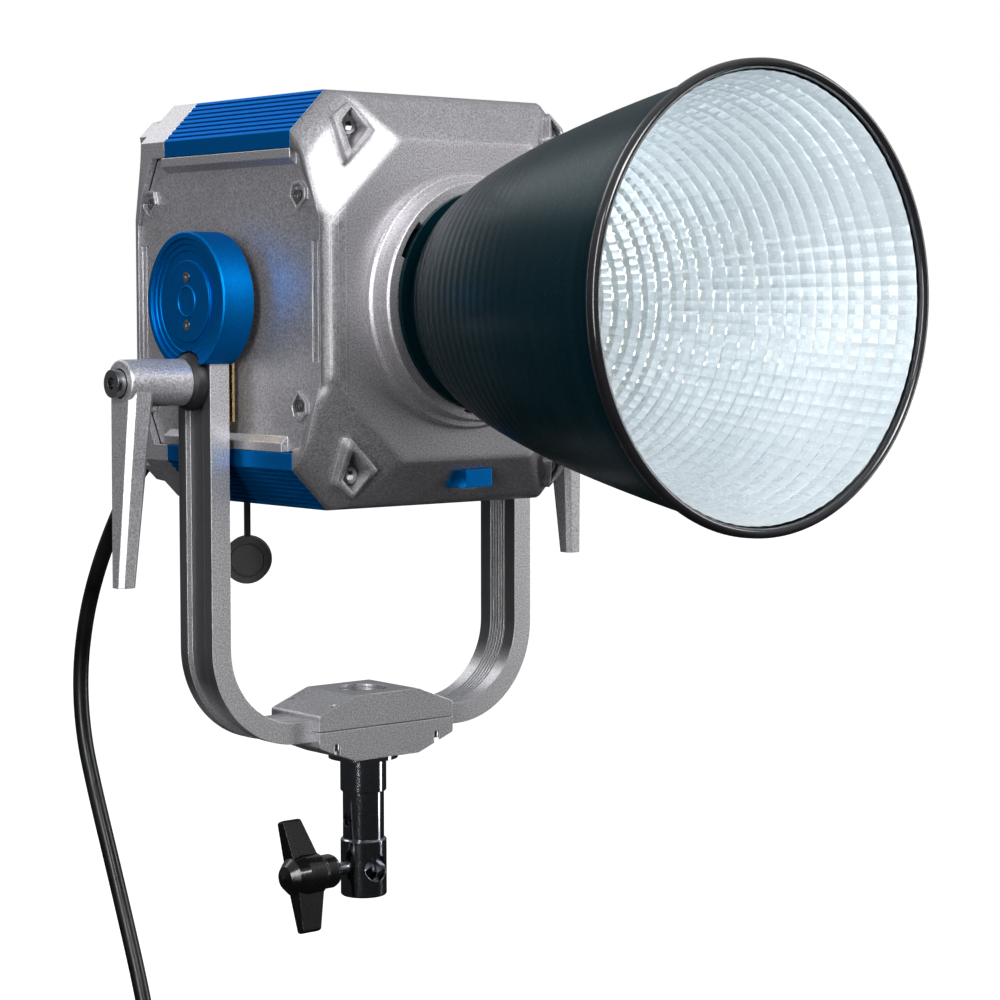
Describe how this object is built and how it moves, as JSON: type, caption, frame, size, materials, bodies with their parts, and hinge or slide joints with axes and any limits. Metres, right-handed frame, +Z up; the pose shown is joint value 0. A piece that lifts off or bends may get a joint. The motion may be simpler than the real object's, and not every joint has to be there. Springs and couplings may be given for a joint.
{
  "type": "led spotlight",
  "caption": "Studio LED spotlight head with a flared bell reflector on a U-shaped yoke, with clamp levers, a stand spigot and a locking knob.",
  "frame": {"origin": "mouth of the stand socket, on the spigot's axis", "axes": "+Z up along the spigot, -Y along the beam at rest, X along the tilt axis with the knob on the -X side"},
  "size_m": [0.354, 0.6668, 0.7976],
  "materials": {
    "silver_paint": "satin metallic",
    "blue_coat": "satin powder coat",
    "black_paint": "satin",
    "black_oxide_steel": "satin",
    "zinc_steel": "satin",
    "spring_steel": "bright",
    "cast_aluminium": "machined",
    "reflector_aluminium": "bright anodised inside, dark lacquer outside",
    "cover_glass": "clear",
    "led_phosphor": "matte",
    "copper": "satin",
    "brass": "satin",
    "board_green": "satin",
    "black_plastic": "satin",
    "gloss_black_plastic": "gloss",
    "yoke_paint": "satin metallic",
    "dark_chrome": "polished",
    "black_rubber": "matte",
    "friction_pad": "matte",
    "blue_plastic": "satin",
    "white_ceramic": "matte"
  },
  "bodies": {
    "yoke": {"yoke_arch": "yoke_paint", "base_upper": "yoke_paint", "base_lower": "yoke_paint", "yoke_screws": "black_oxide_steel", "hub_cover_left": "blue_coat", "hub_cover_right": "blue_coat", "brake_plates": "brass", "clamp_bolts": "zinc_steel", "pivot_bushes": "brass", "spigot": "dark_chrome", "spigot_nut": "zinc_steel", "power_cable": "black_rubber", "cable_coil": "black_rubber", "coil_strap": "black_rubber", "far_plug": "black_plastic"},
    "head": {"front_bezel": "silver_paint", "rear_bezel": "silver_paint", "top_shell": "blue_coat", "bottom_shell": "blue_coat", "side_cover_left": "silver_paint", "side_cover_right": "silver_paint", "head_screws": "black_oxide_steel", "tie_rods": "zinc_steel", "rear_grille": "black_paint", "mount_ring": "silver_paint", "bayonet_plate": "silver_paint", "trim_ring": "cast_aluminium", "cover_glass": "cover_glass", "heat_sink": "cast_aluminium", "heat_pipes": "copper", "cob_led": "led_phosphor", "cob_holder": "white_ceramic", "fan_frame": "black_plastic", "driver_board": "board_green", "panel_socket": "blue_plastic", "pivot_blocks": "cast_aluminium", "pivot_shafts": "zinc_steel", "brake_discs": "friction_pad", "latch_spring": "spring_steel", "cable_plug": "black_plastic", "cable_boot": "black_rubber", "strap_anchor": "black_rubber"},
    "reflector": {"reflector_bell": "reflector_aluminium", "reflector_collar": "cast_aluminium"},
    "latch": {"release_latch": "blue_coat", "latch_slider": "zinc_steel"},
    "clamp_hub_left": {"lever_collar_left": "black_paint", "lever_screw_left": "black_oxide_steel", "lever_spring_left": "spring_steel"},
    "clamp_hub_right": {"lever_collar_right": "black_paint", "lever_screw_right": "black_oxide_steel", "lever_spring_right": "spring_steel"},
    "handle_left": {"lever_left": "yoke_paint"},
    "handle_right": {"lever_right": "yoke_paint"},
    "knob": {"wing_knob": "gloss_black_plastic", "knob_screw": "black_oxide_steel"},
    "pad": {"pressure_pad": "brass"},
    "fan": {"fan_rotor": "black_plastic"},
    "cap": {"dust_cap": "black_rubber"},
    "plug_collar": {"plug_ring": "blue_plastic"}
  },
  "joints": [
    {"name": "head_tilt", "type": "hinge", "parent": "yoke", "child": "head", "pos_m": [0, 0, 0.366], "axis": [-1, 0, 0], "range_deg": [-50, 90], "deforming": ["power_cable"]},
    {"name": "reflector_twist", "type": "hinge", "parent": "head", "child": "reflector", "pos_m": [0, 0, 0.366], "axis": [0, -1, 0], "range_deg": [-30, 0]},
    {"name": "latch_slide", "type": "slide", "parent": "head", "child": "latch", "axis": [-1, 0, 0], "range_m": [0, 0.005], "stiffness_N_per_m": 400, "springref_m": -0.004, "deforming": ["latch_spring"]},
    {"name": "clamp_turn_left", "type": "hinge", "parent": "yoke", "child": "clamp_hub_left", "pos_m": [0, 0, 0.3194], "axis": [-1, 0, 0], "range_deg": [-60, 60]},
    {"name": "clamp_turn_right", "type": "hinge", "parent": "yoke", "child": "clamp_hub_right", "pos_m": [0, 0, 0.3194], "axis": [1, 0, 0], "range_deg": [-60, 60]},
    {"name": "handle_pull_left", "type": "slide", "parent": "clamp_hub_left", "child": "handle_left", "axis": [-1, 0, 0], "range_m": [0, 0.004], "stiffness_N_per_m": 600, "springref_m": -0.002, "deforming": ["lever_spring_left"]},
    {"name": "handle_pull_right", "type": "slide", "parent": "clamp_hub_right", "child": "handle_right", "axis": [1, 0, 0], "range_m": [0, 0.004], "stiffness_N_per_m": 600, "springref_m": -0.002, "deforming": ["lever_spring_right"]},
    {"name": "knob_turn", "type": "hinge", "parent": "yoke", "child": "knob", "pos_m": [0, 0, 0.018], "axis": [1, 0, 0], "range_deg": [0, 540]},
    {"name": "pad_travel", "type": "slide", "parent": "yoke", "child": "pad", "axis": [1, 0, 0], "range_m": [0, 0.00225]},
    {"name": "fan_spin", "type": "hinge", "parent": "head", "child": "fan", "pos_m": [0, 0, 0.378], "axis": [0, -1, 0], "continuous": true},
    {"name": "cap_swing", "type": "hinge", "parent": "head", "child": "cap", "pos_m": [-0.014, 0.1039, 0.2545], "axis": [1, 0, 0], "range_deg": [-10, 60]},
    {"name": "plug_collar_turn", "type": "hinge", "parent": "head", "child": "plug_collar", "pos_m": [-0.014, 0.11, 0.272], "axis": [0, 1, 0], "range_deg": [0, 45]}
  ],
  "couplings": [
    {"joint": "pad_travel", "follows": "knob_turn", "m_per_rad": 0.0002387}
  ]
}
